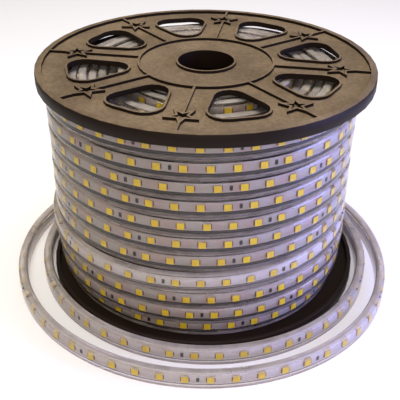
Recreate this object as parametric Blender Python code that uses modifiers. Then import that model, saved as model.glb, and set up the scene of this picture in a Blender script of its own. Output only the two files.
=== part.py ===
"""A 50 m reel of flat 220 V LED strip light.

The strip is wound on a black plastic reel: two like flange mouldings on a tube
shaped core. It stands on one flange, and its last 2.4 metres have
come off the winding and lie in loose rings round the bottom. Metres, +Z up,
the origin at the centre of the foot, a rib of the flanges along +X.
"""
import math

import bpy
import bmesh

# Sizes
CLEARANCE = 0.0003          # between two pieces that touch

REEL_HEIGHT = 0.168
FLANGE_DIAMETER = 0.240
RIM_HEIGHT = 0.009
RIM_WIDTH = 0.0046          # of the flat ring on top of the rim
SKIRT_THICKNESS = 0.003     # of the rim's wall, below the plate
RIM_EDGE = 0.0005
RELIEF_HEIGHT = 0.0022      # of the rim over the sunk face
RELIEF_WIDTH = 0.0015       # of ribs, lips and rings
RELIEF_SINK = 0.0002        # how far the lips and rings stay below the rim
PLATE_THICKNESS = 0.0018
BORE_DIAMETER = 0.040
COLLAR_THICKNESS = 0.003
COLLAR_DEPTH = 0.010
HUB_RING_DIAMETER = 0.096
SPIGOT_THICKNESS = 0.0027
SPIGOT_DEPTH = 0.008
RIB_COUNT = 8

WINDOW_FOOT_PLACE = 0.0660  # from the axis to the centre of the round inner end
WINDOW_FOOT_RADIUS = 0.0105
WINDOW_CORNER_PLACE = 0.0860
WINDOW_CORNER_OFFSET = 0.0083
WINDOW_CORNER_RADIUS = 0.0113

STAR_PLACE = 0.095
STAR_RADIUS = 0.0118
STAR_POCKET_DEPTH = 0.0024  # below the star's own top
STAR_WAIST = 0.382          # inner corners over points, in a five-pointed star

CORE_DIAMETER = 0.098
CORE_WALL = 0.003

STRIP_WIDTH = 0.0138
STRIP_THICKNESS = 0.0070
LAYER_COUNT = 9
ROW_COUNT = 11
ROW_SPACE = 0.003275        # left free between the outer layer and each flange
WINDING_INSET = 0.0077      # from the flange's edge in to the full winding
ROW_GROOVE = 0.0012
ROW_EDGE = 0.0008
# How far each row of the outer layer lies inside the full winding, top row first.
# The eighth is the loose end's first turn, so the winding has a groove there
ROW_DIPS = (0.0, 0.0004, 0.0006, 0.0010, 0.0007, 0.0007, 0.0007, 0.0093, 0.0, 0.0008, 0.0053)
LOOSE_ROW = 8
ROW_SINK = 0.0028           # how much lower the rows below the loose one lie
# The rows lie further out on one side, and lower there by this much in each row
LEAN_ANGLE = 188.9
ROW_LEAN = 0.0028
ROW_TILTS = (0.0012, 0.0012, 0.0012, 0.0010, 0.0012, 0.0014, 0.0018, 0.0020, 0.0022, 0.0016, 0.0)
# Where each inner layer's top edge lies below the upper flange, first layer first
TOP_DIPS = (0.0006, 0.0018, 0.0085, 0.0055, 0.0075, 0.0038, 0.0064, 0.0046)
BOTTOM_STEP = 0.0009        # every second layer stands this much higher

# The loose end's middle line from its cut end to the winding, by angle in degrees
# and distance outside the flange's edge. Two rings go by their height over the
# floor, and the turn on the winding by its height over that of the loose row
TAIL_RINGS = (
    (116, 0.0178, 0.0071),
    (144, 0.0172, 0.0071),
    (189, 0.0234, 0.0071),
    (234, 0.0285, 0.0071),
    (279, 0.0304, 0.0071),
    (324, 0.0288, 0.0071),
    (369, 0.0200, 0.0071),
    (417, 0.0165, 0.0071),
    (459, 0.0122, 0.0071),
    (504, 0.0078, 0.0071),
    (554, 0.0056, 0.0071),
    (594, 0.0064, 0.0071),
    (639, 0.0086, 0.0071),
    (684, 0.0090, 0.0071),
    (714, 0.0072, 0.0073),
    (742, 0.0056, 0.0092),
    (765, 0.0052, 0.0165),
    (790, 0.0026, 0.0270),
    (819, 0.0008, 0.0385),
)
TAIL_TURN = (
    (846, -0.0004, -0.0092),
    (872, -0.0012, -0.0045),
    (909, -0.0058, -0.0034),
    (954, -0.0070, -0.0026),
    (976, -0.0074, -0.0015),
    (999, -0.0080, -0.0004),
    (1021, -0.0097, 0.0001),
    (1044, -0.0118, 0.0006),
    (1066, -0.0134, 0.0012),
    (1089, -0.0141, 0.0014),
    (1114, -0.0138, 0.0012),
    (1144, -0.0120, 0.0006),
    (1184, -0.0112, -0.0007),
)
TAIL_POINTS = 76

FLANGE_STEPS = 48
WINDING_STEPS = 40
ARC_STEPS = 5

# Worked out from the sizes above
FLANGE_RADIUS = FLANGE_DIAMETER / 2
BORE_RADIUS = BORE_DIAMETER / 2
CORE_RADIUS = CORE_DIAMETER / 2
FACE_LEVEL = -RELIEF_HEIGHT
RELIEF_LEVEL = -RELIEF_SINK
PLATE_BACK = FACE_LEVEL - PLATE_THICKNESS
INNER_LOW = -PLATE_BACK
INNER_HIGH = REEL_HEIGHT + PLATE_BACK
WINDING_BORE = CORE_RADIUS + CLEARANCE
WINDING_RADIUS = FLANGE_RADIUS - WINDING_INSET
LAYER_THICKNESS = (WINDING_RADIUS - WINDING_BORE) / LAYER_COUNT
ROWS_HIGH = INNER_HIGH - ROW_SPACE
ROW_PITCH = (ROWS_HIGH - INNER_LOW - ROW_SPACE) / ROW_COUNT
LOOSE_ROW_HEIGHT = ROWS_HIGH - (LOOSE_ROW - 1) * ROW_PITCH - STRIP_WIDTH / 2


def clear_scene():
    for item in list(bpy.data.objects):
        bpy.data.objects.remove(item, do_unlink=True)


def make_collection(name):
    collection = bpy.data.collections.new(name)
    bpy.context.scene.collection.children.link(collection)
    return collection


def make_material(name, colour, roughness, metallic=0.0):
    material = bpy.data.materials.new(name)
    material.use_nodes = True
    shader = material.node_tree.nodes["Principled BSDF"]
    shader.inputs["Base Color"].default_value = (*colour, 1.0)
    shader.inputs["Roughness"].default_value = roughness
    shader.inputs["Metallic"].default_value = metallic
    return material


def evaluated_mesh(item):
    """The object's mesh with its modifiers applied and its loose caps welded."""
    bpy.context.view_layer.update()
    graph = bpy.context.evaluated_depsgraph_get()
    mesh = bpy.data.meshes.new_from_object(item.evaluated_get(graph), depsgraph=graph)
    work = bmesh.new()
    work.from_mesh(mesh)
    bmesh.ops.remove_doubles(work, verts=work.verts, dist=0.00001)
    work.to_mesh(mesh)
    work.free()
    return mesh


def add_object(name, mesh, material, collection):
    mesh.materials.clear()
    mesh.materials.append(material)
    mesh.shade_smooth()
    mesh.set_sharp_from_angle(angle=math.radians(30))
    item = bpy.data.objects.new(name, mesh)
    collection.objects.link(item)
    return item


def turned(name, profile, steps, material, collection):
    """A closed profile of (radius, height) points, turned about Z."""
    count = len(profile)
    mesh = bpy.data.meshes.new(name)
    edges = [(index, (index + 1) % count) for index in range(count)]
    mesh.from_pydata([(radius, 0.0, height) for radius, height in profile], edges, [])
    item = add_object(name, mesh, material, collection)
    screw = item.modifiers.new("turn", "SCREW")
    screw.steps = steps
    screw.render_steps = steps
    screw.use_merge_vertices = True
    screw.merge_threshold = 0.00001
    return item


def flat_plates(name, outlines, low, high, collection):
    """One mesh of flat plates, each with its own outline, between two heights."""
    curve = bpy.data.curves.new(name, "CURVE")
    curve.dimensions = "2D"
    curve.fill_mode = "BOTH"
    curve.extrude = (high - low) / 2
    for outline in outlines:
        spline = curve.splines.new("POLY")
        spline.points.add(len(outline) - 1)
        for point, (x, y) in zip(spline.points, outline):
            point.co = (x, y, 0.0, 1.0)
        spline.use_cyclic_u = True
    drawn = bpy.data.objects.new(name + "_outline", curve)
    collection.objects.link(drawn)
    mesh = evaluated_mesh(drawn)
    bpy.data.objects.remove(drawn, do_unlink=True)
    plates = bpy.data.objects.new(name, mesh)
    plates.location.z = (high + low) / 2
    plates.hide_render = True
    plates.display_type = "WIRE"
    collection.objects.link(plates)
    return plates


def boolean(item, cutter, operation):
    modifier = item.modifiers.new(cutter.name, "BOOLEAN")
    modifier.object = cutter
    modifier.operation = operation
    modifier.solver = "EXACT"


def arc(centre_x, centre_y, radius, start, end):
    turn = (end - start) / ARC_STEPS
    return [(centre_x + radius * math.cos(start + turn * step),
             centre_y + radius * math.sin(start + turn * step))
            for step in range(ARC_STEPS + 1)]


def window_outline(grow=0.0):
    """A rounded triangle: a small circle near the hub and two corner circles near
    the rim, joined by their outer tangents. Outward from the axis is +Y."""
    rise = WINDOW_CORNER_PLACE - WINDOW_FOOT_PLACE
    reach = math.hypot(WINDOW_CORNER_OFFSET, rise)
    slope = math.atan2(rise, WINDOW_CORNER_OFFSET)
    side = slope - math.acos((WINDOW_FOOT_RADIUS - WINDOW_CORNER_RADIUS) / reach)
    foot = arc(0.0, WINDOW_FOOT_PLACE, WINDOW_FOOT_RADIUS + grow, math.pi - side, math.tau + side)
    corner = WINDOW_CORNER_RADIUS + grow
    right = arc(WINDOW_CORNER_OFFSET, WINDOW_CORNER_PLACE, corner, side, math.pi / 2)
    left = arc(-WINDOW_CORNER_OFFSET, WINDOW_CORNER_PLACE, corner, math.pi / 2, math.pi - side)
    return foot + right + left


def star_outline(radius):
    """A five-pointed star with one point outward, which is +Y."""
    points = []
    for corner in range(10):
        reach = radius if corner % 2 == 0 else radius * STAR_WAIST
        turn = math.pi / 2 + corner * math.pi / 5
        points.append((reach * math.cos(turn), STAR_PLACE + reach * math.sin(turn)))
    return points


def rib_outline():
    half = RELIEF_WIDTH / 2
    start = (HUB_RING_DIAMETER - RELIEF_WIDTH) / 2
    end = FLANGE_RADIUS - RIM_WIDTH / 2
    return [(half, start), (half, end), (-half, end), (-half, start)]


def around(outline, first_angle):
    """The outline, drawn with +Y outward, once for each rib about the axis."""
    copies = []
    for index in range(RIB_COUNT):
        turn = first_angle + index * math.tau / RIB_COUNT - math.pi / 2
        cos, sin = math.cos(turn), math.sin(turn)
        copies.append([(x * cos - y * sin, x * sin + y * cos) for x, y in outline])
    return copies


def flange_profile():
    """The moulding's section, with its outer face at height 0 and facing up."""
    rim_inside = FLANGE_RADIUS - RIM_WIDTH
    skirt_inside = FLANGE_RADIUS - SKIRT_THICKNESS
    spigot_outside = CORE_RADIUS - CORE_WALL - CLEARANCE
    spigot_inside = spigot_outside - SPIGOT_THICKNESS
    collar_outside = BORE_RADIUS + COLLAR_THICKNESS
    hub_outside = (HUB_RING_DIAMETER + RELIEF_WIDTH) / 2
    hub_inside = hub_outside - RELIEF_WIDTH
    lip_outside = BORE_RADIUS + RELIEF_WIDTH
    return [
        (FLANGE_RADIUS - RIM_EDGE, 0.0),
        (FLANGE_RADIUS, -RIM_EDGE),
        (FLANGE_RADIUS, RIM_EDGE - RIM_HEIGHT),
        (FLANGE_RADIUS - RIM_EDGE, -RIM_HEIGHT),
        (skirt_inside, -RIM_HEIGHT),
        (skirt_inside, PLATE_BACK),
        (spigot_outside, PLATE_BACK),
        (spigot_outside, PLATE_BACK - SPIGOT_DEPTH),
        (spigot_inside, PLATE_BACK - SPIGOT_DEPTH),
        (spigot_inside, PLATE_BACK),
        (collar_outside, PLATE_BACK),
        (collar_outside, PLATE_BACK - COLLAR_DEPTH),
        (BORE_RADIUS, PLATE_BACK - COLLAR_DEPTH),
        (BORE_RADIUS, RELIEF_LEVEL),
        (lip_outside, RELIEF_LEVEL),
        (lip_outside, FACE_LEVEL),
        (hub_inside, FACE_LEVEL),
        (hub_inside, RELIEF_LEVEL),
        (hub_outside, RELIEF_LEVEL),
        (hub_outside, FACE_LEVEL),
        (rim_inside, FACE_LEVEL),
        (rim_inside, 0.0),
    ]


def flange_mesh(material, parts, cutters):
    """The turned moulding with its ribs, stars and lips, its windows cut through."""
    blank = turned("flange_blank", flange_profile(), FLANGE_STEPS, material, parts)
    root = FACE_LEVEL - PLATE_THICKNESS / 3
    above = RELIEF_HEIGHT
    between = math.pi / RIB_COUNT
    ribs = flat_plates("ribs", around(rib_outline(), 0.0), root, RELIEF_LEVEL - RELIEF_SINK / 2, cutters)
    stars = flat_plates("stars", around(star_outline(STAR_RADIUS), 0.0), root, RELIEF_LEVEL, cutters)
    lips = flat_plates("lips", around(window_outline(RELIEF_WIDTH), between), root, RELIEF_LEVEL, cutters)
    windows = flat_plates("windows", around(window_outline(), between), PLATE_BACK - above, above, cutters)
    # A star's edges lie at cos 72 degrees of its radius from its middle
    pocket_radius = STAR_RADIUS - RELIEF_WIDTH / math.cos(math.radians(72))
    pocket_floor = RELIEF_LEVEL - STAR_POCKET_DEPTH
    pockets = flat_plates("pockets", around(star_outline(pocket_radius), 0.0), pocket_floor, above, cutters)
    boolean(blank, ribs, "UNION")
    boolean(blank, stars, "UNION")
    boolean(blank, lips, "UNION")
    boolean(blank, windows, "DIFFERENCE")
    boolean(blank, pockets, "DIFFERENCE")
    mesh = evaluated_mesh(blank)
    mesh.name = "flange"
    bpy.data.objects.remove(blank, do_unlink=True)
    return mesh


def make_flanges(parts, cutters):
    plastic = make_material("reel_plastic", (0.030, 0.020, 0.014), 0.42)
    mesh = flange_mesh(plastic, parts, cutters)
    upper = add_object("flange_top", mesh, plastic, parts)
    upper.location.z = REEL_HEIGHT
    lower = add_object("flange_bottom", mesh, plastic, parts)
    lower.rotation_euler.x = math.pi


def make_core(parts):
    plastic = make_material("core_plastic", (0.024, 0.017, 0.012), 0.50)
    low = INNER_LOW + CLEARANCE
    high = INNER_HIGH - CLEARANCE
    inside = CORE_RADIUS - CORE_WALL
    profile = [(CORE_RADIUS, high), (CORE_RADIUS, low), (inside, low), (inside, high)]
    turned("core_barrel", profile, WINDING_STEPS, plastic, parts)


def winding_rows():
    """The outer layer's section, down its 11 rows: two points on each row and one
    in the groove below it, each as radius, height and the row's tilt."""
    radii = [WINDING_RADIUS - dip for dip in ROW_DIPS]
    points = []
    for index, radius in enumerate(radii):
        high = ROWS_HIGH - index * ROW_PITCH - (ROW_SINK if index >= LOOSE_ROW else 0.0)
        low = high - ROW_PITCH - (ROW_SINK if index + 1 == LOOSE_ROW else 0.0)
        points.append((radius, high - ROW_EDGE, ROW_TILTS[index]))
        points.append((radius, low + ROW_EDGE, ROW_TILTS[index]))
        if index + 1 < ROW_COUNT:
            groove = min(radius, radii[index + 1]) - ROW_GROOVE
            points.append((groove, low, (ROW_TILTS[index] + ROW_TILTS[index + 1]) / 2))
    return points


def winding_ends():
    """The inner layers' section on the lower and then on the upper end."""
    layers = LAYER_COUNT - 1
    bottom, top = [], []
    for layer in reversed(range(layers)):
        height = INNER_LOW + CLEARANCE + (layer % 2) * BOTTOM_STEP
        bottom.append((WINDING_BORE + (layer + 1) * LAYER_THICKNESS, height))
        bottom.append((WINDING_BORE + layer * LAYER_THICKNESS, height))
    for layer in range(layers):
        height = INNER_HIGH - TOP_DIPS[layer]
        top.append((WINDING_BORE + layer * LAYER_THICKNESS, height))
        top.append((WINDING_BORE + (layer + 1) * LAYER_THICKNESS, height))
    return bottom, top


def make_winding(parts):
    """One turned solid for the whole winding: rows outside, layers on its ends. The
    rows then lean to one side, and the ends stay level."""
    sheath = make_material("strip_sheath", (0.52, 0.48, 0.47), 0.25)
    rows = winding_rows()
    bottom, top = winding_ends()
    outer_start = WINDING_BORE + (LAYER_COUNT - 1) * LAYER_THICKNESS
    ends = [(outer_start, rows[-1][1])] + bottom + top + [(outer_start, rows[0][1])]
    profile = [(radius, height) for radius, height, _ in rows] + ends
    blank = turned("winding_blank", profile, WINDING_STEPS, sheath, parts)
    mesh = evaluated_mesh(blank)
    bpy.data.objects.remove(blank, do_unlink=True)
    # The turned mesh holds the profile's points in their order, once for each step
    for index, vertex in enumerate(mesh.vertices):
        place = index % len(profile)
        if place < len(rows):
            radius, height, tilt = rows[place]
            turn = math.atan2(vertex.co.y, vertex.co.x)
            side = math.cos(turn - math.radians(LEAN_ANGLE))
            reach = radius + ROW_LEAN * side ** 3
            vertex.co = (reach * math.cos(turn), reach * math.sin(turn), height - tilt * side)
    add_object("led_strip_coil", mesh, sheath, parts)


def tail_knots():
    """The loose end's knots as angle, distance from the axis and height."""
    rings = [(angle, FLANGE_RADIUS + out, height) for angle, out, height in TAIL_RINGS]
    turn = [(angle, FLANGE_RADIUS + out, LOOSE_ROW_HEIGHT + rise) for angle, out, rise in TAIL_TURN]
    return rings + turn


def smooth_route(knots, count):
    """Evenly spaced points on a smooth curve through the knots. Distance from the
    axis and height follow the angle along Catmull-Rom pieces."""
    def at(angle):
        last = len(knots) - 2
        piece = max(index for index in range(last + 1) if knots[index][0] <= angle or index == 0)
        before = knots[max(piece - 1, 0)]
        start, end = knots[piece], knots[piece + 1]
        after = knots[min(piece + 2, last + 1)]
        span = end[0] - start[0]
        share = (angle - start[0]) / span
        square, cube = share ** 2, share ** 3
        values = []
        for axis in (1, 2):
            start_slope = (end[axis] - before[axis]) / (end[0] - before[0]) * span
            end_slope = (after[axis] - start[axis]) / (after[0] - start[0]) * span
            values.append((2 * cube - 3 * square + 1) * start[axis]
                          + (cube - 2 * square + share) * start_slope
                          + (3 * square - 2 * cube) * end[axis]
                          + (cube - square) * end_slope)
        turn = math.radians(angle)
        return (values[0] * math.cos(turn), values[0] * math.sin(turn), values[1])

    fine = 20 * count
    first, last = knots[0][0], knots[-1][0]
    trail = [at(first + (last - first) * step / fine) for step in range(fine + 1)]
    run = [0.0]
    for start, end in zip(trail, trail[1:]):
        run.append(run[-1] + math.dist(start, end))
    points = []
    place = 0
    for index in range(count):
        wanted = run[-1] * index / (count - 1)
        while place < fine - 1 and run[place + 1] < wanted:
            place += 1
        share = (wanted - run[place]) / (run[place + 1] - run[place])
        points.append([start + (end - start) * share for start, end in zip(trail[place], trail[place + 1])])
    return points


def make_tail(parts):
    """The loose end, a flat band standing on its edge."""
    sheath = make_material("tail_sheath", (0.56, 0.52, 0.50), 0.25)
    curve = bpy.data.curves.new("led_strip_tail", "CURVE")
    curve.dimensions = "3D"
    curve.twist_mode = "Z_UP"
    curve.bevel_depth = STRIP_THICKNESS / 2
    curve.bevel_resolution = 1
    curve.extrude = (STRIP_WIDTH - STRIP_THICKNESS) / 2
    curve.use_fill_caps = True
    points = smooth_route(tail_knots(), TAIL_POINTS)
    spline = curve.splines.new("POLY")
    spline.points.add(len(points) - 1)
    for point, place in zip(spline.points, points):
        point.co = (*place, 1.0)
    curve.materials.append(sheath)
    item = bpy.data.objects.new("led_strip_tail", curve)
    parts.objects.link(item)


clear_scene()
parts_collection = make_collection("led_strip_reel")
cutter_collection = make_collection("cutters")
make_flanges(parts_collection, cutter_collection)
make_core(parts_collection)
make_winding(parts_collection)
make_tail(parts_collection)
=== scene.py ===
import math

import bmesh
import bpy
import numpy as np
from mathutils import Matrix


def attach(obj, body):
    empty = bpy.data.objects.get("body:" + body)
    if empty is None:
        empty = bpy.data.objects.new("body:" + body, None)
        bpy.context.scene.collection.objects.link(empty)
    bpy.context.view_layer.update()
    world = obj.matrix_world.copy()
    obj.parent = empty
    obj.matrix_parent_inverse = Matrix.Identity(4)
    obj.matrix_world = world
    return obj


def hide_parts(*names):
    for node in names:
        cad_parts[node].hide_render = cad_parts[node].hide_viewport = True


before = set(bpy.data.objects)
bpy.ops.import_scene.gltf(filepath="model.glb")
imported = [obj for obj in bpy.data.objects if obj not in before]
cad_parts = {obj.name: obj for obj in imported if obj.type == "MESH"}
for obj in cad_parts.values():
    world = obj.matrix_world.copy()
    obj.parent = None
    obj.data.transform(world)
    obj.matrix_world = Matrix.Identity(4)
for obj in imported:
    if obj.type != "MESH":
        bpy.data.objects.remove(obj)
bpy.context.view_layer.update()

scene = bpy.context.scene

# The camera: a plain 65 mm lens about 0.6 m off, 9 degrees to the right of the
# model's -Y, and looking down on the reel by 31.5 degrees.
CAMERA_PLACE = (0.0725, -0.4835, 0.3510)
CAMERA_FORWARD = (-0.1319, 0.8420, -0.5231)
CAMERA_RIGHT = (0.98796, 0.15471, 0.0)
CAMERA_ROLL = 0.011         # radians
CAMERA_TURN = 8.9           # degrees from the model's -Y to the photographed front
CAMERA_LENS = 64.91         # millimetres, over a sensor 36 mm wide

forward = np.array(CAMERA_FORWARD) / np.linalg.norm(CAMERA_FORWARD)
level = np.array(CAMERA_RIGHT)
lift = np.cross(level, forward)
side = math.cos(CAMERA_ROLL) * level + math.sin(CAMERA_ROLL) * lift
top = np.cross(side, forward)
camera_data = bpy.data.cameras.new("camera")
camera_data.lens = CAMERA_LENS
camera_data.sensor_width = 36.0
camera_data.clip_start = 0.01
camera = bpy.data.objects.new("camera", camera_data)
scene.collection.objects.link(camera)
camera.matrix_world = Matrix([
    (side[0], top[0], -forward[0], CAMERA_PLACE[0]),
    (side[1], top[1], -forward[1], CAMERA_PLACE[1]),
    (side[2], top[2], -forward[2], CAMERA_PLACE[2]),
    (0.0, 0.0, 0.0, 1.0)])
scene.camera = camera


# The loose end: 2.4 m of clear PVC strip, still one with the winding. It lies in two
# rings on the floor, climbs behind the reel and goes once round the winding as its
# loose eighth row. In it are a white flexible board, a wire at each edge, and LEDs.
STRIP_WIDTH = 0.0138
STRIP_THICKNESS = 0.0070
SHEATH_CORNER = 0.0023
BOARD_WIDTH = 0.0063
BOARD_THICKNESS = 0.0003
BOARD_CORNER = 0.0001
BOARD_LEVEL = -0.0006       # of the board's front, outward from the strip's middle
WIRE_THICKNESS = 0.0010
WIRE_CORNER = 0.00049       # which makes it nearly round
WIRE_SINK = 0.0002          # of its middle, behind the board's front
WIRE_PLACE = 0.0041         # across from the strip's middle
LED_PITCH = 0.01667
LED_HALF = 0.00245          # half the side of an LED
LED_FACE_HALF = 0.00230     # and of its bright face
LED_FACE_SINK = 0.0001
LED_HEIGHT = 0.0015
FOOT_ENDS = (0.0024, 0.0031)    # of an LED's contact, along from its middle
FOOT_HALF = 0.0017
FOOT_HEIGHT = 0.0005
RESISTOR_HALVES = (0.0010, 0.0012)  # along and across
RESISTOR_HEIGHT = 0.0006
SOLDER_HALF = 0.0009
SOLDER_END = 0.0017         # across from the resistor's middle
SOLDER_HEIGHT = 0.0005
END_SPACE = 0.006           # free of LEDs at each end of a strip
TAIL_STEP = 0.0030          # between two points of the loose end
# Where the LED nearest the front sits on each of its three turns, along from the front
TAIL_LED_PLACES = (0.0050, 0.0109, -0.0020)
# Its middle line from the cut end to the winding: angle, distance from the axis, height
TAIL_KNOTS = (
    (116, .1378, .0071), (144, .1372, .0071), (189, .1434, .0071), (234, .1485, .0071),
    (279, .1504, .0071), (324, .1488, .0071), (369, .1400, .0071), (417, .1365, .0071),
    (459, .1322, .0071), (504, .1278, .0071), (554, .1256, .0071), (594, .1264, .0071),
    (639, .1286, .0071), (684, .1290, .0071), (714, .1272, .0073), (742, .1256, .0092),
    (765, .1252, .0165), (790, .1226, .0270), (819, .1208, .0385), (846, .1196, .0470),
    (872, .1188, .0517), (909, .1142, .0528), (954, .1130, .0536), (976, .1126, .0547),
    (999, .1120, .0558), (1021, .1103, .0563), (1044, .1082, .0568), (1066, .1066, .0574),
    (1089, .1059, .0576), (1114, .1062, .0574), (1144, .1080, .0568), (1184, .1088, .0555))


def smooth_route(knots, step):
    """A line through knots of angle, distance from the axis and height. Between two
    knots, distance and height are cubics of the angle whose slope at each knot is
    that of the line from the knot before to the knot after. Returned as points at
    even distances, with the angle and the distance run at each."""
    angle, *columns = np.array(knots, float).T
    fine = np.linspace(angle[0], angle[-1], 400 * len(angle))
    piece = np.clip(np.searchsorted(angle, fine, side="right") - 1, 0, len(angle) - 2)
    before = np.maximum(piece - 1, 0)
    after = np.minimum(piece + 2, len(angle) - 1)
    span = angle[piece + 1] - angle[piece]
    share = (fine - angle[piece]) / span
    square, cube = share ** 2, share ** 3

    def cubic(value):
        first = (value[piece + 1] - value[before]) / (angle[piece + 1] - angle[before]) * span
        last = (value[after] - value[piece]) / (angle[after] - angle[piece]) * span
        return ((2 * cube - 3 * square + 1) * value[piece] + (cube - 2 * square + share) * first
                + (3 * square - 2 * cube) * value[piece + 1] + (cube - square) * last)

    distance, height = cubic(columns[0]), cubic(columns[1])
    turn = np.radians(fine)
    line = np.stack([distance * np.cos(turn), distance * np.sin(turn), height], axis=1)
    run = np.concatenate([[0.0], np.cumsum(np.linalg.norm(np.diff(line, axis=0), axis=1))])
    even = np.linspace(0.0, run[-1], int(run[-1] / step) + 1)
    points = np.stack([np.interp(even, run, line[:, axis]) for axis in range(3)], axis=1)
    return points, np.interp(even, run, fine), even


def strip_axes(points, closed=False):
    """At each point the unit vectors ahead, outward and across. Ahead is the line
    between the two neighbours, outward is level and square to it, and across is
    square to both, so the strip stands on its edge."""
    ahead = np.roll(points, -1, axis=0) - np.roll(points, 1, axis=0)
    if not closed:
        ahead[0] = points[1] - points[0]
        ahead[-1] = points[-1] - points[-2]
    ahead /= np.linalg.norm(ahead, axis=1)[:, None]
    outward = np.cross(ahead, (0.0, 0.0, 1.0))
    outward /= np.linalg.norm(outward, axis=1)[:, None]
    return ahead, outward, np.cross(outward, ahead)


def rounded_section(thickness, width, corner, steps, out=0.0, across=0.0):
    """A rectangle with four quarter circles for corners, as rows of how far out and
    how far across, going round against the clock with outward to the right."""
    start = np.repeat(np.radians([-90.0, 0.0, 90.0, 180.0]), steps + 1)
    turn = start + np.tile(np.linspace(0.0, math.pi / 2, steps + 1), 4)
    sides = np.repeat([[1, -1], [1, 1], [-1, 1], [-1, -1]], steps + 1, axis=0)
    centre = sides * [thickness / 2 - corner, width / 2 - corner]
    ring = centre + corner * np.stack([np.cos(turn), np.sin(turn)], axis=1)
    return ring + [out, across]


def swept(name, paths, sections, materials):
    """Each section is carried along each path: a vertex is the path's point plus its
    distance out along outward plus its distance across along across. The UV map
    holds metres along the path and metres across it. Open ends get a flat cap."""
    vertices, faces, uvs, slots = [], [], [], []
    count = 0
    caps = []
    for points, closed in paths:
        _, outward, upward = strip_axes(points, closed)
        steps = np.linalg.norm(np.roll(points, -1, axis=0) - points, axis=1)
        run = np.concatenate([[0.0], np.cumsum(steps)])
        rows = len(points) if closed else len(points) - 1
        for slot, section in enumerate(sections):
            size = len(section)
            grid = (points[:, None] + section[None, :, :1] * outward[:, None]
                    + section[None, :, 1:] * upward[:, None])
            near, this = np.meshgrid(np.arange(rows), np.arange(size), indexing="ij")
            far, following = (near + 1) % len(points), (this + 1) % size
            quads = np.stack([near * size + this, far * size + this,
                              far * size + following, near * size + following], axis=-1)
            edge = section[:, 1]
            uv = np.stack([
                np.stack([run[near], run[near + 1], run[near + 1], run[near]], axis=-1),
                np.stack([edge[this], edge[this], edge[following], edge[following]], axis=-1)],
                axis=-1)
            vertices.append(grid.reshape(-1, 3))
            faces.append(count + quads.reshape(-1, 4))
            uvs.append(uv.reshape(-1, 2))
            slots.append(np.full(rows * size, slot))
            if not closed:
                ring = np.arange(size)
                caps.append((count + ring, np.stack([np.full(size, run[0]), edge], axis=1), slot))
                caps.append((count + (len(points) - 1) * size + ring[::-1],
                             np.stack([np.full(size, run[rows]), edge[::-1]], axis=1), slot))
            count += len(points) * size
    face_list = np.concatenate(faces).tolist() + [cap[0].tolist() for cap in caps]
    mesh = bpy.data.meshes.new(name)
    mesh.from_pydata(np.concatenate(vertices).tolist(), [], face_list)
    layer = mesh.uv_layers.new(name="strip")
    layer.data.foreach_set("uv", np.concatenate(uvs + [cap[1] for cap in caps]).ravel())
    slot_list = np.concatenate(slots + [np.array([cap[2] for cap in caps], int)])
    mesh.polygons.foreach_set("material_index", slot_list.astype(np.int32))
    return finished(name, mesh, materials)


def finished(name, mesh, materials, smooth=True):
    """The mesh as a piece of the reel, with its materials, riding on the one body."""
    for material in materials:
        mesh.materials.append(material)
    mesh.validate()
    if smooth:
        mesh.shade_smooth()
        mesh.set_sharp_from_angle(angle=math.radians(50))
    piece = bpy.data.objects.new(name, mesh)
    scene.collection.objects.link(piece)
    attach(piece, "root")
    return piece


def block(along, out, across):
    """A box between two values on each axis, as eight corners and six faces."""
    corners = np.array([(a, o, c) for c in across for o in out for a in along], float)
    faces = np.array([(0, 2, 3, 1), (4, 5, 7, 6), (0, 1, 5, 4),
                      (2, 6, 7, 3), (0, 4, 6, 2), (1, 3, 7, 5)])
    return corners, faces


def copies(blocks, points, runs):
    """Like small parts set along the strip, as vertices, faces and material numbers.
    Each block is its corners, its faces and its material's number. A corner's place
    is the strip's point at the part's run plus the corner's three distances along
    ahead, outward and across."""
    ahead, outward, upward = strip_axes(points)
    step = np.linalg.norm(np.diff(points, axis=0), axis=1)
    run = np.concatenate([[0.0], np.cumsum(step)])

    def at(values):
        return np.stack([np.interp(runs, run, values[:, axis]) for axis in range(3)], axis=1)

    place, axes = at(points), np.stack([at(ahead), at(outward), at(upward)], axis=1)
    vertices, faces, slots = [], [], []
    count = 0
    for corners, sides, slot in blocks:
        vertices.append((place[:, None] + np.einsum("vk,nkx->nvx", corners, axes)).reshape(-1, 3))
        first = count + len(corners) * np.arange(len(runs))
        faces.append((first[:, None, None] + sides[None]).reshape(-1, 4))
        slots.append(np.full(len(runs) * len(sides), slot))
        count += len(corners) * len(runs)
    return np.concatenate(vertices), np.concatenate(faces), np.concatenate(slots)


def joined(name, groups, materials):
    """One mesh of several groups of vertices, four-sided faces and material numbers."""
    vertices, faces, slots = zip(*groups)
    starts = np.cumsum([0] + [len(group) for group in vertices[:-1]])
    mesh = bpy.data.meshes.new(name)
    mesh.from_pydata(np.concatenate(vertices).tolist(), [],
                     np.concatenate([start + group for start, group in zip(starts, faces)]).tolist())
    mesh.polygons.foreach_set("material_index", np.concatenate(slots).astype(np.int32))
    return finished(name, mesh, materials, smooth=False)


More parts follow.
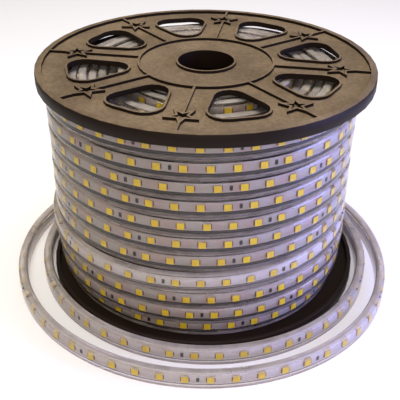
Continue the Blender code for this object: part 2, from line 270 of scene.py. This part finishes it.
class Nodes:
    """A material's node tree, with one short call for each node and its inputs."""

    def __init__(self, name):
        self.material = bpy.data.materials.new(name)
        self.material.use_nodes = True
        self.tree = self.material.node_tree
        self.shader = self.tree.nodes["Principled BSDF"]
        self.output = self.tree.nodes["Material Output"]

    def add(self, kind, inputs=(), **settings):
        """A new node, with its settings made and its named inputs filled."""
        node = self.tree.nodes.new("ShaderNode" + kind)
        for key, value in settings.items():
            setattr(node, key, value)
        for key, value in dict(inputs).items():
            self.put(node.inputs[key], value)
        return node

    def put(self, socket, value):
        """Links another node's output to the socket, or sets the socket's own value."""
        if isinstance(value, bpy.types.NodeSocket):
            self.tree.links.new(value, socket)
        elif hasattr(value, "__len__") and len(value) == 3 and socket.type == "RGBA":
            socket.default_value = (*value, 1.0)
        else:
            socket.default_value = value

    def math(self, operation, first, second=0.0, third=0.0):
        node = self.add("Math", operation=operation)
        for socket, value in zip(node.inputs, (first, second, third)):
            self.put(socket, value)
        return node.outputs[0]

    def between(self, value, low, high, start=0.0, end=1.0):
        """A smooth step: start where the value is low or less, end where it is high."""
        node = self.add("MapRange", {"Value": value, "From Min": low, "From Max": high,
                                     "To Min": start, "To Max": end}, interpolation_type="SMOOTHSTEP")
        return node.outputs[0]

    def blend(self, share, first, second):
        """The first colour where the share is 0, and the second where it is 1."""
        node = self.add("Mix", data_type="RGBA")
        self.put(node.inputs["Factor"], share)
        self.put(node.inputs[6], first)
        self.put(node.inputs[7], second)
        return node.outputs[2]

    def noise(self, vector, scale, detail=2.0, roughness=0.5):
        node = self.add("TexNoise", {"Vector": vector, "Scale": scale, "Detail": detail,
                                     "Roughness": roughness})
        return node.outputs["Fac"]

    def stretched(self, vector, scale):
        return self.add("Mapping", {"Vector": vector, "Scale": scale}).outputs[0]

    def bump(self, height, distance, strength=1.0):
        node = self.add("Bump", {"Height": height, "Distance": distance, "Strength": strength})
        return node.outputs[0]


def clear_sheath(name, haze, rubbed_and_highlight):
    """Clear soft PVC: it bends and mirrors light, and its skin has faint drawn lines
    and smudges. A whitish haze lies all over, and at each edge a pale diffuse band
    starts 5.9 mm from the middle: partly a rubbed edge, partly a painted highlight
    line of the lamps on the rounded corner. Lamps light what it holds as through air."""
    nodes = Nodes(name)
    place = nodes.add("UVMap", uv_map="strip").outputs[0]
    lines = nodes.noise(nodes.stretched(place, (9.0, 1400.0, 1.0)), 1.0, 3.0, 0.6)
    smudge = nodes.noise(nodes.stretched(place, (45.0, 160.0, 1.0)), 1.0, 3.0, 0.6)
    across = nodes.math("ABSOLUTE", nodes.add("SeparateXYZ", {"Vector": place}).outputs["Y"])
    # Painted highlight, in part: this pale band at each edge stands for the lamps' highlight on the rounded
    # corner, as well as a rubbed edge.
    edge = nodes.math("MULTIPLY", nodes.between(across, 0.0059, 0.0067, 0.0, rubbed_and_highlight),
                      nodes.between(smudge, 0.35, 0.60, 0.6, 1.0))
    film = nodes.math("MULTIPLY_ADD", nodes.between(smudge, 0.45, 0.75), 0.02, haze)
    haze_and_highlight = nodes.math("ADD", film, edge)
    bend = nodes.bump(nodes.math("ADD", lines, nodes.math("MULTIPLY", smudge, 0.8)), 0.00006, 0.4)
    glass = nodes.add("BsdfGlass", {"Color": (0.95, 0.93, 0.93), "IOR": 1.40, "Normal": bend,
                                    "Roughness": nodes.between(smudge, 0.3, 0.8, 0.02, 0.08)})
    haze_and_highlight_diffuse = nodes.add("BsdfDiffuse", {"Color": (0.50, 0.45, 0.41), "Normal": bend})
    body = nodes.add("MixShader", {0: haze_and_highlight, 1: glass.outputs[0], 2: haze_and_highlight_diffuse.outputs[0]})
    air = nodes.add("BsdfTransparent", {"Color": (0.88, 0.86, 0.86)})
    lit = nodes.add("LightPath").outputs["Is Shadow Ray"]
    skin = nodes.add("MixShader", {0: lit, 1: body.outputs[0], 2: air.outputs[0]})
    nodes.tree.links.new(skin.outputs[0], nodes.output.inputs["Surface"])
    nodes.tree.nodes.remove(nodes.shader)
    return nodes.material


def white_board(name, white, pink):
    """White solder mask, faintly pink where copper lies under it, with fine grey
    soiling."""
    nodes = Nodes(name)
    place = nodes.add("UVMap", uv_map="strip").outputs[0]
    patch = nodes.noise(nodes.stretched(place, (60.0, 20.0, 1.0)), 1.0, 1.0, 0.4)
    fine = nodes.noise(nodes.stretched(place, (500.0, 1200.0, 1.0)), 1.0, 3.0, 0.6)
    colour = nodes.blend(nodes.between(patch, 0.44, 0.58), white, pink)
    colour = nodes.blend(nodes.between(fine, 0.3, 0.8, 0.0, 0.25), colour, (0.24, 0.21, 0.19))
    nodes.put(nodes.shader.inputs["Base Color"], colour)
    nodes.put(nodes.shader.inputs["Roughness"], nodes.between(fine, 0.2, 0.8, 0.35, 0.55))
    nodes.put(nodes.shader.inputs["Normal"], nodes.bump(fine, 0.00005, 0.5))
    return nodes.material


def wire_grey(name, dark, light):
    """The wires' stranded tinned copper, dull grey. The near-black copy on the winding
    is painted shade of the grooves between the rows.
    """
    nodes = Nodes(name)
    place = nodes.add("UVMap", uv_map="strip").outputs[0]
    strand = nodes.noise(nodes.stretched(place, (250.0, 2200.0, 1.0)), 1.0, 2.0, 0.5)
    nodes.put(nodes.shader.inputs["Base Color"], nodes.blend(strand, dark, light))
    nodes.put(nodes.shader.inputs["Roughness"], nodes.between(strand, 0.3, 0.7, 0.35, 0.6))
    nodes.put(nodes.shader.inputs["Normal"], nodes.bump(strand, 0.0001, 0.6))
    nodes.shader.inputs["Metallic"].default_value = 0.3
    return nodes.material


def small_part(name, dark, light, roughness, scale):
    """A plain small moulded or plated part, its colour varied a little by a noise."""
    nodes = Nodes(name)
    place = nodes.add("TexCoord").outputs["Object"]
    speck = nodes.noise(place, scale, 2.0)
    nodes.put(nodes.shader.inputs["Base Color"], nodes.blend(nodes.between(speck, 0.3, 0.7), dark, light))
    nodes.put(nodes.shader.inputs["Roughness"], nodes.between(speck, 0.3, 0.7, roughness, roughness + 0.12))
    nodes.put(nodes.shader.inputs["Normal"], nodes.bump(speck, 0.00004, 0.4))
    return nodes.material


SHEATH = clear_sheath("clear_sheath", 0.0, 0.50)
# Painted shade: the board and wires of the winding and inner rings are darker copies of the loose end's.
# They stand for the shade under the upper flange and in the grooves between rows.
SHADED_BOARD = white_board("white_board", (0.34, 0.315, 0.285), (0.35, 0.275, 0.250))
SHADED_WIRE = wire_grey("shade_darkened_wire", (0.020, 0.017, 0.016), (0.085, 0.074, 0.070))
LOOSE_SHEATH = clear_sheath("loose_sheath", 0.08, 0.50)
LOOSE_BOARD = white_board("loose_board", (0.54, 0.515, 0.50), (0.52, 0.475, 0.465))
LOOSE_WIRE = wire_grey("loose_wire", (0.10, 0.09, 0.09), (0.26, 0.24, 0.24))
PHOSPHOR = small_part("led_phosphor", (0.66, 0.45, 0.004), (0.74, 0.55, 0.006), 0.55, 260.0)
LED_FRAME = small_part("led_frame", (0.40, 0.31, 0.16), (0.52, 0.43, 0.26), 0.55, 200.0)
CONTACT = small_part("led_contact", (0.08, 0.014, 0.010), (0.17, 0.045, 0.032), 0.50, 500.0)
RESISTOR = small_part("resistor", (0.004, 0.002, 0.002), (0.014, 0.007, 0.006), 0.60, 500.0)
SOLDER = small_part("solder", (0.05, 0.03, 0.028), (0.11, 0.08, 0.07), 0.50, 700.0)

sheath_section = rounded_section(STRIP_THICKNESS, STRIP_WIDTH, SHEATH_CORNER, 4)
board_section = rounded_section(BOARD_THICKNESS, BOARD_WIDTH, BOARD_CORNER, 1,
                                out=BOARD_LEVEL - BOARD_THICKNESS / 2)
wire_sections = [rounded_section(WIRE_THICKNESS, WIRE_THICKNESS, WIRE_CORNER, 1,
                                 out=BOARD_LEVEL - WIRE_SINK, across=place)
                 for place in (-WIRE_PLACE, WIRE_PLACE)]
LIGHT_MATERIALS = [LED_FRAME, PHOSPHOR, CONTACT, RESISTOR, SOLDER]
IN_FRAME, IN_PHOSPHOR, IN_CONTACT, IN_RESISTOR, IN_SOLDER = range(len(LIGHT_MATERIALS))


def led_blocks():
    """One LED: a square package with a bright face set in a thin rim, and a contact
    foot at each end."""
    back, face = BOARD_LEVEL, BOARD_LEVEL + LED_HEIGHT
    square = np.array([(-1, -1), (1, -1), (1, 1), (-1, 1)], float)
    rings = [(LED_HALF, back), (LED_HALF, face),
             (LED_FACE_HALF, face), (LED_FACE_HALF, face - LED_FACE_SINK)]
    corners = np.concatenate([
        np.stack([square[:, 0] * reach, np.full(4, out), square[:, 1] * reach], axis=1)
        for reach, out in rings])
    wall = np.array([(k, 4 + k, 4 + (k + 1) % 4, (k + 1) % 4) for k in range(4)])
    body = np.concatenate([wall, wall + 4, [(0, 1, 2, 3)]])
    step = wall + 8
    face_quad = np.array([(15, 14, 13, 12)])
    inner, outer = FOOT_ENDS
    feet = [(*block(ends, (back, back + FOOT_HEIGHT), (-FOOT_HALF, FOOT_HALF)), IN_CONTACT)
            for ends in ((-outer, -inner), (inner, outer))]
    bright = np.concatenate([step, face_quad])
    return [(corners, body, IN_FRAME), (corners, bright, IN_PHOSPHOR)] + feet


def resistor_blocks():
    """One resistor upright on the board: a black body between two solder ends."""
    back = BOARD_LEVEL
    along, across = RESISTOR_HALVES
    body = block((-along, along), (back, back + RESISTOR_HEIGHT), (-across, across))
    solder = [(*block((-SOLDER_HALF, SOLDER_HALF), (back, back + SOLDER_HEIGHT), ends), IN_SOLDER)
              for ends in ((-SOLDER_END, -across), (across, SOLDER_END))]
    return [(*body, IN_RESISTOR)] + solder


def light_runs(anchors, end):
    """Where the LEDs sit along a strip. The anchors are places that hold one, and
    between them the LEDs are spaced evenly, as near to the pitch as a whole number
    of them allows. Beyond the anchors they go on at the pitch to both ends."""
    anchors = np.sort(np.array(anchors, float))
    numbers = np.concatenate([[0], np.cumsum(np.maximum(1, np.round(np.diff(anchors) / LED_PITCH)))])
    before = int((anchors[0] - END_SPACE) / LED_PITCH)
    after = int((end - END_SPACE - anchors[-1]) / LED_PITCH)
    spots = np.arange(-before, numbers[-1] + after + 1)
    runs = np.interp(spots, numbers, anchors)
    runs = np.where(spots < 0, anchors[0] + spots * LED_PITCH, runs)
    return np.where(spots > numbers[-1], anchors[-1] + (spots - numbers[-1]) * LED_PITCH, runs)


def strip(name, points, runs, marks, node, clear=SHEATH, white=SHADED_BOARD, wire=SHADED_WIRE):
    """The sheath, the board with its wires, and the LEDs and resistors of one path,
    which together stand for one solid."""
    sheath = swept(name + "_sheath", [(points, False)], [sheath_section], [clear])
    board = swept(name + "_board", [(points, False)], [board_section] + wire_sections,
                  [white, wire, wire])
    lights = joined(name + "_leds", [
        copies(led_blocks(), points, runs),
        copies(resistor_blocks(), points, marks)], LIGHT_MATERIALS)
    for piece in (sheath, board, lights):
        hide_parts(node)
    return sheath, board, lights


FRONT = 270.0 + CAMERA_TURN     # degrees from +X
tail_points, tail_angles, tail_run = smooth_route(TAIL_KNOTS, TAIL_STEP)
tail_fronts = np.interp([FRONT, FRONT + 360.0, FRONT + 720.0], tail_angles, tail_run)
tail_lights = light_runs(tail_fronts + TAIL_LED_PLACES, tail_run[-1])
tail_marks = tail_lights[3::5][:-1] + LED_PITCH / 2     # resistors, every fifth gap
sheath, board, lights = strip("loose_end", tail_points, tail_lights, tail_marks, "led_strip_tail",
                             LOOSE_SHEATH, LOOSE_BOARD, LOOSE_WIRE)


# The outer layer: ten more turns of the same strip, side by side, seven above the
# loose one and three below. Each keeps to its own row round the front and steps up
# to the next at the back. They lie a little further out, and lower, on the left.
ROWS_TOP = 0.160725
ROW_PITCH = 0.01395
LOOSE_ROW = 7               # the loose end's, counted from 0 at the top
ROW_SINK = 0.0028           # how much lower the three lower rows lie
BACK = 104.0                # degrees from +X, where the rows step
LEFT = FRONT - 90.0
ROW_LEAN = 0.0028           # how much further out the rows lie on the left
ROW_STEP = 0.0042           # between two points of a row
KNOT_ANGLES = np.arange(25.0, 340.0, 22.0)      # degrees past the back
MARK_REACH = 175.0          # degrees each side of a row's front that are its own
TUCKED = 0.0960             # how far from the axis an end lies under its neighbours
# Each row's outer radius, and how much lower it lies on the left than at the front
ROW_RADII = (.1123, .1119, .1117, .1113, .1116, .1116, .1116, .1030, .1123, .1115, .1070)
ROW_TILTS = (.0012, .0012, .0012, .0010, .0012, .0014, .0018, .0020, .0022, .0016, 0.0)
# Where one LED of each row sits, in metres along the row from the front, which gap
# between LEDs after it holds a resistor, and every how many gaps there is one
LED_PLACES = (-.0037, .0028, .0074, -.0028, .0014, -.0015, -.0056, 0.0, .0049, .0073, .0028)
MARK_GAPS = (1, 2, 0, 1, 2, 1, 1, 0, 2, 3, 1)
MARK_STEPS = (4, 4, 4, 4, 6, 4, 4, 4, 4, 4, 4)

row_heights = [ROWS_TOP - (index + 0.5) * ROW_PITCH - (ROW_SINK if index > LOOSE_ROW else 0.0)
               for index in range(len(ROW_RADII))]


def row_middle(index, angle):
    """A row's middle line, as distance from the axis and height. The cosine of the
    angle from the left lowers the row there, and its cube moves it outward."""
    toward_left = np.cos(np.radians(angle - LEFT))
    distance = ROW_RADII[index] - STRIP_THICKNESS / 2 + ROW_LEAN * toward_left ** 3
    return distance, row_heights[index] - ROW_TILTS[index] * toward_left


def row_knots(rows):
    """Knots for a run of rows from one turn to the next. There are none within 25
    degrees of the back, where the strip steps up to the next row."""
    knots = []
    for order, index in enumerate(rows):
        angle = BACK + 360.0 * order + KNOT_ANGLES
        knots += list(zip(angle, *row_middle(index, angle)))
    return knots


def row_lights(rows, angles, run):
    """LED and resistor places of a run of rows, from what shows at each front."""
    fronts = FRONT + 360.0 * np.arange(len(rows))
    anchors = np.interp(fronts, angles, run) + np.array(LED_PLACES)[rows]
    places = light_runs(anchors, run[-1])
    gaps = (places[:-1] + places[1:]) / 2
    marks = []
    for index, front, anchor in zip(rows, fronts, anchors):
        low, high = np.interp([front - MARK_REACH, front + MARK_REACH], angles, run)
        marked = np.argmin(np.abs(gaps - anchor - (MARK_GAPS[index] + 0.5) * LED_PITCH))
        chosen = gaps[marked % MARK_STEPS[index]::MARK_STEPS[index]]
        marks.append(chosen[(chosen > low) & (chosen < high)])
    return places, np.concatenate(marks)


# The upper rows begin where the loose end stops, and the other ends are tucked under
upper_rows, lower_rows = [6, 5, 4, 3, 2, 1, 0], [10, 9, 8]
upper_end = BACK + 360.0 * len(upper_rows)
lower_end = BACK + 360.0 * len(lower_rows)
upper_knots = ([(BACK, .1088, .0555), (BACK + 8.0, .1090, .0564)] + row_knots(upper_rows)[1:]
               + [(upper_end + 20.0, TUCKED, row_heights[0])])
lower_knots = ([(BACK - 20.0, TUCKED, row_heights[10])] + row_knots(lower_rows)
               + [(lower_end + 5.0, .1030, .0470), (lower_end + 30.0, TUCKED, .0500)])
for name, knots, rows in (("upper_rows", upper_knots, upper_rows),
                          ("lower_rows", lower_knots, lower_rows)):
    points, angles, run = smooth_route(knots, ROW_STEP)
    places, marks = row_lights(rows, angles, run)
    strip(name, points, places, marks, "led_strip_coil")


# The inner layers: only the turns next to the flanges show, through their windows
# and past the edges of the layers outside them. Each is one ring of the same strip,
# and they are wound tight on the tube, the first layer against it.
LAYER_START = 0.0493        # the first layer's inner face
# How far each layer's upper ring lies below the upper flange, at the front
TOP_DIPS = (.0006, .0018, .0085, .0055, .0075, .0038, .0064)
BOTTOM_STEP = 0.0009        # every second layer's lower ring stands this much higher
BACK_SHARE = 0.3            # of a ring's dip, that is left at the back
# How many LEDs each ring has, and how far one is from +X, as a share of their pitch
RING_LIGHTS = (19, 25, 25, 27, 30, 33, 35)
RING_STARTS = (0.2, 0.32, 0.8, 0.1, 0.5, 0.9, 0.3)
INNER_LOW, INNER_HIGH = 0.0040, 0.1640     # the flanges' inner faces
RING_CLEARANCE = 0.0003     # over the lower flange
RING_POINTS = 144

ring_turn = np.linspace(0.0, math.tau, RING_POINTS, endpoint=False)
ring_paths, ring_groups = [], []
front_share = (1.0 + np.cos(ring_turn - math.radians(FRONT))) / 2
for layer, (dip, number, start) in enumerate(zip(TOP_DIPS, RING_LIGHTS, RING_STARTS)):
    distance = LAYER_START + (layer + 0.5) * STRIP_THICKNESS
    depth = dip * (BACK_SHARE + (1.0 - BACK_SHARE) * front_share)
    for level in (INNER_HIGH - depth - STRIP_WIDTH / 2,
                  INNER_LOW + RING_CLEARANCE + layer % 2 * BOTTOM_STEP + STRIP_WIDTH / 2):
        ring = np.stack([distance * np.cos(ring_turn), distance * np.sin(ring_turn),
                         np.broadcast_to(level, ring_turn.shape)], axis=1)
        ring_paths.append((ring, True))
        loop = np.concatenate([ring, ring[:1]])
        length = np.linalg.norm(np.diff(loop, axis=0), axis=1).sum()
        runs = (np.arange(number) + start) * length / number
        ring_groups.append(copies(led_blocks(), loop, runs))
        ring_groups.append(copies(resistor_blocks(), loop, runs[layer % 4::4] + length / number / 2))
inner_pieces = [
    swept("inner_turns_sheath", ring_paths, [sheath_section], [clear_sheath("rubbed_and_highlight_sheath", 0.02, 0.55)]),
    swept("inner_turns_board", ring_paths, [board_section] + wire_sections, [SHADED_BOARD, SHADED_WIRE, SHADED_WIRE]),
    joined("inner_turns_leds", ring_groups, LIGHT_MATERIALS)]


# The turns behind the outer layer: the same clear strip, of which only dark gaps show
# between the rows. They are one turned body, and its wall goes on up behind the top
# rows, outside the rings that show there. Its colour is painted shade: near black,
# banded darker and lighter with the rows.
BODY_RADIUS = 0.1038
BODY_WALL_INSIDE = 0.0988
BODY_LOW, BODY_SHOULDER, BODY_HIGH = 0.0186, 0.1410, 0.1600
BODY_SPACE = 0.0002         # between the body and the first layer's inner face
BODY_SIDES = 96


def turned(name, profile, steps, materials):
    """A closed profile of (radius, height, lean), given with the solid to its left,
    turned about Z: a vertex is the cosine and sine of the turn times the radius plus
    the lean, which goes with the cube of the cosine of the angle from the left."""
    radius, height, lean = np.array(profile, float).T
    turn = np.linspace(0.0, math.tau, steps, endpoint=False)[:, None]
    reach = radius + lean * np.cos(turn - math.radians(LEFT)) ** 3
    grid = np.stack([reach * np.cos(turn), reach * np.sin(turn),
                     np.broadcast_to(height, reach.shape)], axis=-1)
    near, this = np.meshgrid(np.arange(steps), np.arange(len(profile)), indexing="ij")
    far, following = (near + 1) % steps, (this + 1) % len(profile)
    size = len(profile)
    quads = np.stack([near * size + this, far * size + this,
                      far * size + following, near * size + following], axis=-1)
    mesh = bpy.data.meshes.new(name)
    mesh.from_pydata(grid.reshape(-1, 3).tolist(), [], quads.reshape(-1, 4).tolist())
    return finished(name, mesh, materials)


def painted_shade_turns():
    """The turns behind, seen only through gaps: painted shade, a near-black colour
    standing for the clear strip, banded darker and lighter by height with the rows.
    """
    nodes = Nodes("painted_shade_turns")
    place = nodes.add("TexCoord").outputs["Object"]
    height = nodes.add("SeparateXYZ", {"Vector": place}).outputs["Z"]
    row_shade_band = nodes.math("SINE", nodes.math("MULTIPLY", height, math.tau / ROW_PITCH))
    speck = nodes.noise(place, 180.0, 3.0)
    # Painted shade: the near-black colour and its row bands stand for the shade on the turns behind the
    # outer layer.
    nodes.put(nodes.shader.inputs["Base Color"],
              nodes.blend(nodes.between(row_shade_band, -0.6, 0.6), (0.004, 0.003, 0.0025), (0.022, 0.017, 0.013)))
    nodes.put(nodes.shader.inputs["Roughness"], nodes.between(speck, 0.3, 0.7, 0.25, 0.5))
    nodes.put(nodes.shader.inputs["Normal"], nodes.bump(speck, 0.0003, 0.5))
    return nodes.material


turns_behind = turned("inner_turns_body", [
    (BODY_RADIUS, BODY_LOW, ROW_LEAN), (BODY_RADIUS, BODY_HIGH, ROW_LEAN),
    (BODY_WALL_INSIDE, BODY_HIGH, 0.0), (BODY_WALL_INSIDE, BODY_SHOULDER, 0.0),
    (LAYER_START + BODY_SPACE, BODY_SHOULDER, 0.0), (LAYER_START + BODY_SPACE, BODY_LOW, 0.0)],
    BODY_SIDES, [painted_shade_turns()])
for piece in inner_pieces + [turns_behind]:
    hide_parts("led_strip_coil")


# The reel: two like mouldings in black-brown plastic, pushed onto the ends of a
# plain tube. Their upper faces carry a tan film, partly dust and partly painted
# sheen of the lamp overhead, and their walls are dark.
def moulded_plastic(name, dust_and_sheen):
    """Black-brown plastic with a fine grain. Where the face looks up lies a patchy tan
    film with pale specks, partly dust and partly painted sheen of the lamp overhead.
    Its share there, from 0 to 1, is given as dust_and_sheen."""
    nodes = Nodes(name)
    place = nodes.add("TexCoord").outputs["Object"]
    normal = nodes.add("NewGeometry").outputs["Normal"]
    upward = nodes.add("SeparateXYZ", {"Vector": normal}).outputs["Z"]
    cloud = nodes.noise(place, 26.0, 5.0, 0.62)
    grain = nodes.noise(place, 420.0, 4.0, 0.65)
    speck = nodes.noise(place, 1500.0, 1.0, 0.5)
    # Painted sheen, in part: the tan film where the face looks up stands for the overhead lamp's sheen as
    # well as dust.
    film = nodes.math("MULTIPLY", nodes.between(upward, 0.55, 0.95), dust_and_sheen)
    film = nodes.math("MULTIPLY", film, nodes.between(cloud, 0.30, 0.68, 0.62, 1.0))
    film = nodes.math("MULTIPLY", film, nodes.between(grain, 0.25, 0.7, 0.88, 1.0))
    bare = nodes.blend(cloud, (0.0090, 0.0046, 0.0026), (0.0170, 0.0100, 0.0060))
    dust_and_sheen_colour = nodes.blend(nodes.between(grain, 0.2, 0.8), (0.17, 0.122, 0.073), (0.24, 0.175, 0.110))
    colour = nodes.blend(film, bare, dust_and_sheen_colour)
    pale = nodes.math("MULTIPLY", nodes.between(speck, 0.74, 0.80), film)
    colour = nodes.blend(pale, colour, (0.60, 0.52, 0.42))
    nodes.put(nodes.shader.inputs["Base Color"], colour)
    nodes.put(nodes.shader.inputs["Roughness"], nodes.between(film, 0.0, 0.9, 0.50, 0.72))
    nodes.put(nodes.shader.inputs["Normal"], nodes.bump(grain, 0.00012, 0.5))
    nodes.shader.inputs["Specular IOR Level"].default_value = 0.10
    return nodes.material


WELD_REACH = 0.00002
FLAT_ANGLE = 0.5            # degrees, under which two faces become one


def moulding(node, name, material):
    """A welded copy of the solid, its flat faces made one, with its shading smooth
    round the rim and sharp at the edges."""
    solid = bpy.data.objects[node].data
    places = np.empty(3 * len(solid.vertices), np.float32)
    solid.vertices.foreach_get("co", places)
    corners = np.empty(len(solid.loops), np.int32)
    solid.loops.foreach_get("vertex_index", corners)
    mesh = bpy.data.meshes.new(name)
    mesh.from_pydata(places.reshape(-1, 3).tolist(), [], corners.reshape(-1, 3).tolist())
    work = bmesh.new()
    work.from_mesh(mesh)
    bmesh.ops.remove_doubles(work, verts=work.verts, dist=WELD_REACH)
    bmesh.ops.dissolve_limit(work, angle_limit=math.radians(FLAT_ANGLE),
                             verts=work.verts, edges=work.edges)
    work.to_mesh(mesh)
    work.free()
    piece = finished(name, mesh, [material])
    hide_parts(node)


moulding("flange_top", "upper_flange", moulded_plastic("dust_and_sheen_plastic", 0.95))
moulding("flange_bottom", "lower_flange", moulded_plastic("dark_plastic", 0.03))
core_skin = moulded_plastic("core_plastic_skin", 0.05)
for slot in bpy.data.objects["core_barrel"].material_slots:
    slot.material = core_skin


# The floor and the lights: a plain white sheet, a wide warm lamp overhead, a weak
# warm one in front, and a blue one at the right. The air glows softly all round.
GLOW_SEEN = 1.0             # how bright the air looks to the camera
GLOW_CAST = 0.20            # and how bright it is as a light


def lamp(name, place, aim, size, power, colour):
    """A flat lamp of two sizes in metres, at a place and turned to face its aim. Its
    own Z points back from the aim, and its X is level."""
    data = bpy.data.lights.new(name, "AREA")
    data.shape = "RECTANGLE"
    data.size, data.size_y = size
    data.energy = power
    data.color = colour
    item = bpy.data.objects.new(name, data)
    scene.collection.objects.link(item)
    back = np.array(place, float) - np.array(aim, float)
    back /= np.linalg.norm(back)
    across = np.cross((0.0, 0.0, 1.0), back)
    across /= np.linalg.norm(across)
    up = np.cross(back, across)
    item.matrix_world = Matrix([(across[k], up[k], back[k], place[k]) for k in range(3)]
                               + [(0, 0, 0, 1)])


lamp("overhead", (-0.10, 0.05, 1.50), (0.0, 0.0, 0.1), (1.4, 1.0), 26.0, (1.0, 0.95, 0.88))
lamp("front", (0.20, -1.10, 0.60), (0.0, 0.0, 0.08), (0.9, 0.5), 5.0, (1.0, 0.92, 0.84))
lamp("cool_side", (0.90, -0.06, 0.28), (0.0, 0.0, 0.08), (0.5, 0.5), 10.0, (0.35, 0.39, 1.0))

floor_mesh = bpy.data.meshes.new("floor")
floor_mesh.from_pydata([(-3, -3, 0), (3, -3, 0), (3, 3, 0), (-3, 3, 0)], [], [(0, 1, 2, 3)])
floor = bpy.data.objects.new("floor", floor_mesh)
scene.collection.objects.link(floor)
floor_nodes = Nodes("floor_sheet")
floor_nodes.shader.inputs["Base Color"].default_value = (0.93, 0.93, 0.93, 1.0)
floor_nodes.shader.inputs["Roughness"].default_value = 0.8
floor_mesh.materials.append(floor_nodes.material)

world = bpy.data.worlds.new("world")
world.use_nodes = True
background = world.node_tree.nodes["Background"]
background.inputs["Color"].default_value = (1.0, 1.0, 1.0, 1.0)
sight = world.node_tree.nodes.new("ShaderNodeLightPath").outputs["Is Camera Ray"]
strength = world.node_tree.nodes.new("ShaderNodeMapRange")
strength.inputs["To Min"].default_value = GLOW_CAST
strength.inputs["To Max"].default_value = GLOW_SEEN
world.node_tree.links.new(sight, strength.inputs["Value"])
world.node_tree.links.new(strength.outputs[0], background.inputs["Strength"])
scene.world = world
scene.view_settings.view_transform = "Standard"
